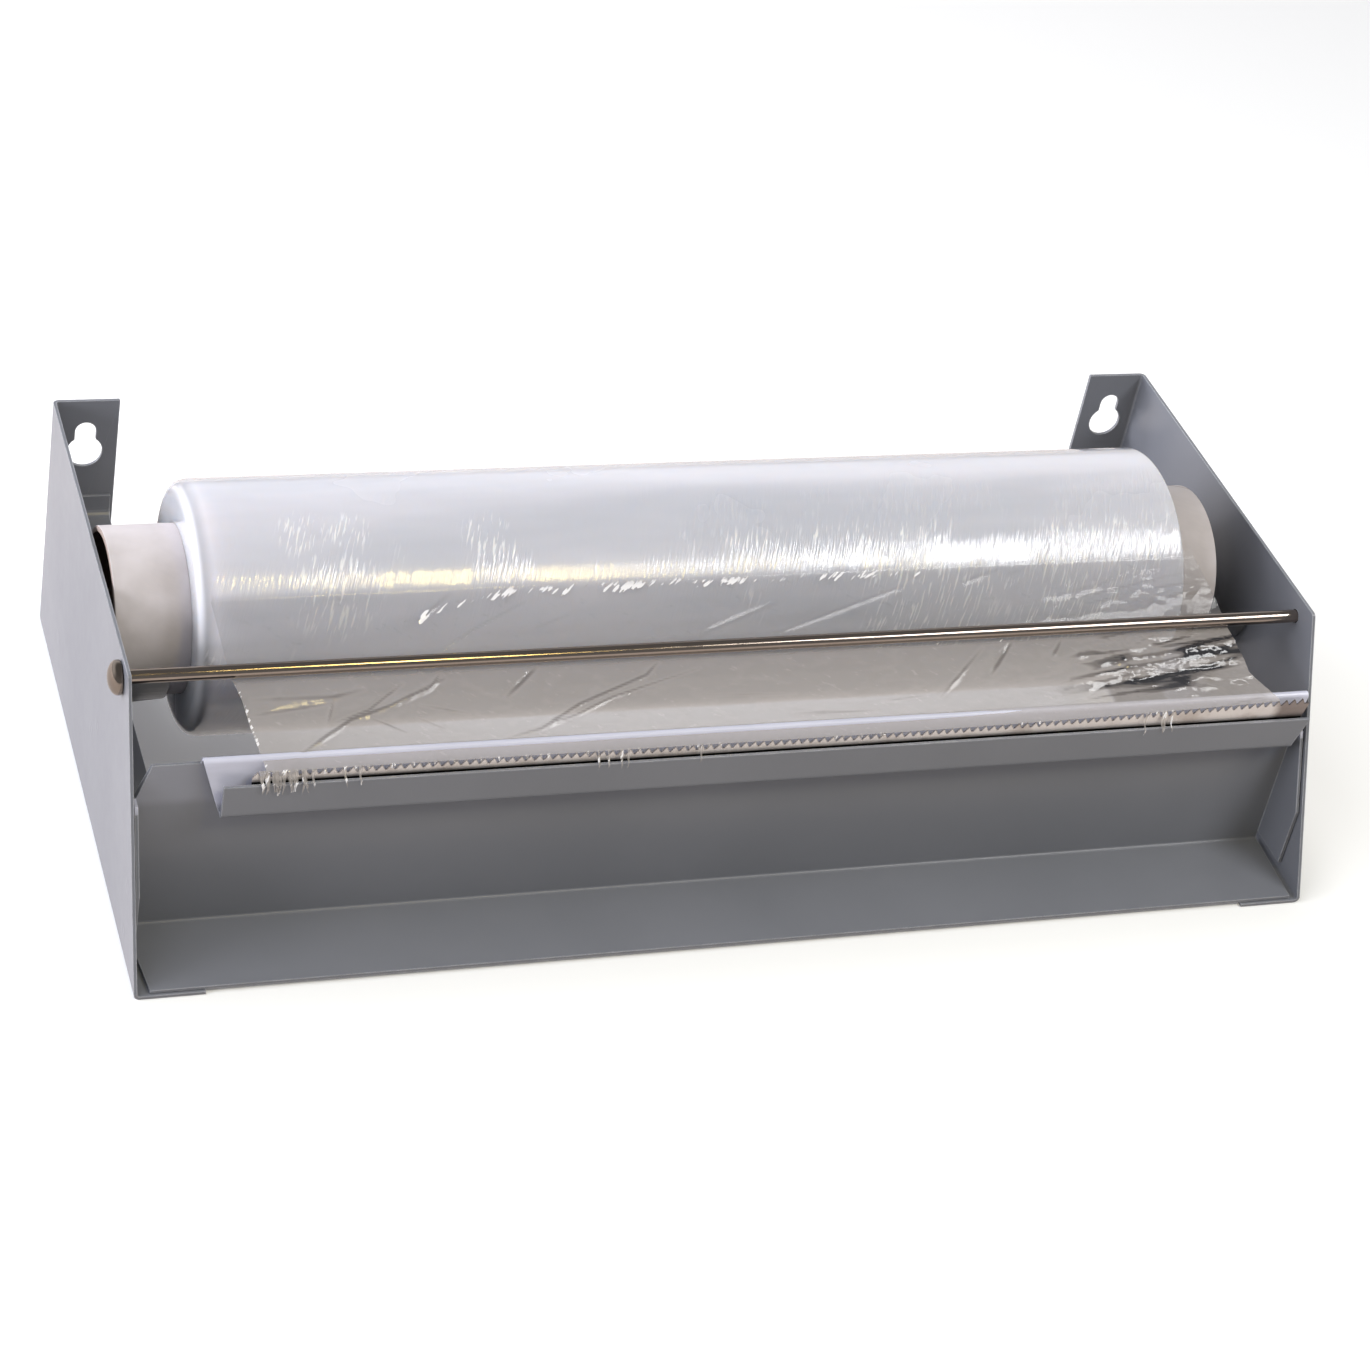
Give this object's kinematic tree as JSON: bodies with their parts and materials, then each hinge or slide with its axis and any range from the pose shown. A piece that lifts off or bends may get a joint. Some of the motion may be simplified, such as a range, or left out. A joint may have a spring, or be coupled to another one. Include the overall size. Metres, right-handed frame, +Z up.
{
  "type": "cling film dispenser",
  "caption": "Folded steel cling film dispenser: side plates with keyholes, film roll on cradles, guide rod, saw-tooth cutter strip and open front tray.",
  "frame": {"origin": "centre of the base of the bounding box, on the counter plane under the middle of the frame", "axes": "+X along the guide rod to the user's right, +Y to the back (the wall side), +Z up"},
  "size_m": [0.5514, 0.259, 0.1468],
  "materials": {
    "left_side_plate": "satin grey powder coat",
    "right_side_plate": "satin grey powder coat",
    "tray_panel": "satin grey powder coat",
    "cutting_blade": "brushed stainless strip",
    "left_core_cradle": "satin grey powder coat",
    "right_core_cradle": "satin grey powder coat",
    "guide_rod": "polished chrome",
    "left_rod_cap": "polished chrome",
    "right_rod_cap": "polished chrome",
    "core_tube": "matt wound paperboard, spiral seam",
    "film_roll": "many turns of clear film, glossy",
    "film_web": "clear thin film, glossy"
  },
  "bodies": {
    "frame": {"left_side_plate": "left_side_plate", "right_side_plate": "right_side_plate", "tray_panel": "tray_panel", "cutting_blade": "cutting_blade", "left_core_cradle": "left_core_cradle", "right_core_cradle": "right_core_cradle", "film_web": "film_web"},
    "film_reel": {"core_tube": "core_tube", "film_roll": "film_roll"},
    "guide_rod": {"guide_rod": "guide_rod", "left_rod_cap": "left_rod_cap", "right_rod_cap": "right_rod_cap"}
  },
  "joints": [
    {"name": "reel_spin", "type": "hinge", "parent": "frame", "child": "film_reel", "pos_m": [0, 0.01295, 0.0916], "axis": [1, 0, 0], "continuous": true},
    {"name": "rod_spin", "type": "hinge", "parent": "frame", "child": "guide_rod", "pos_m": [0, -0.05698, 0.1112], "axis": [1, 0, 0], "continuous": true}
  ]
}
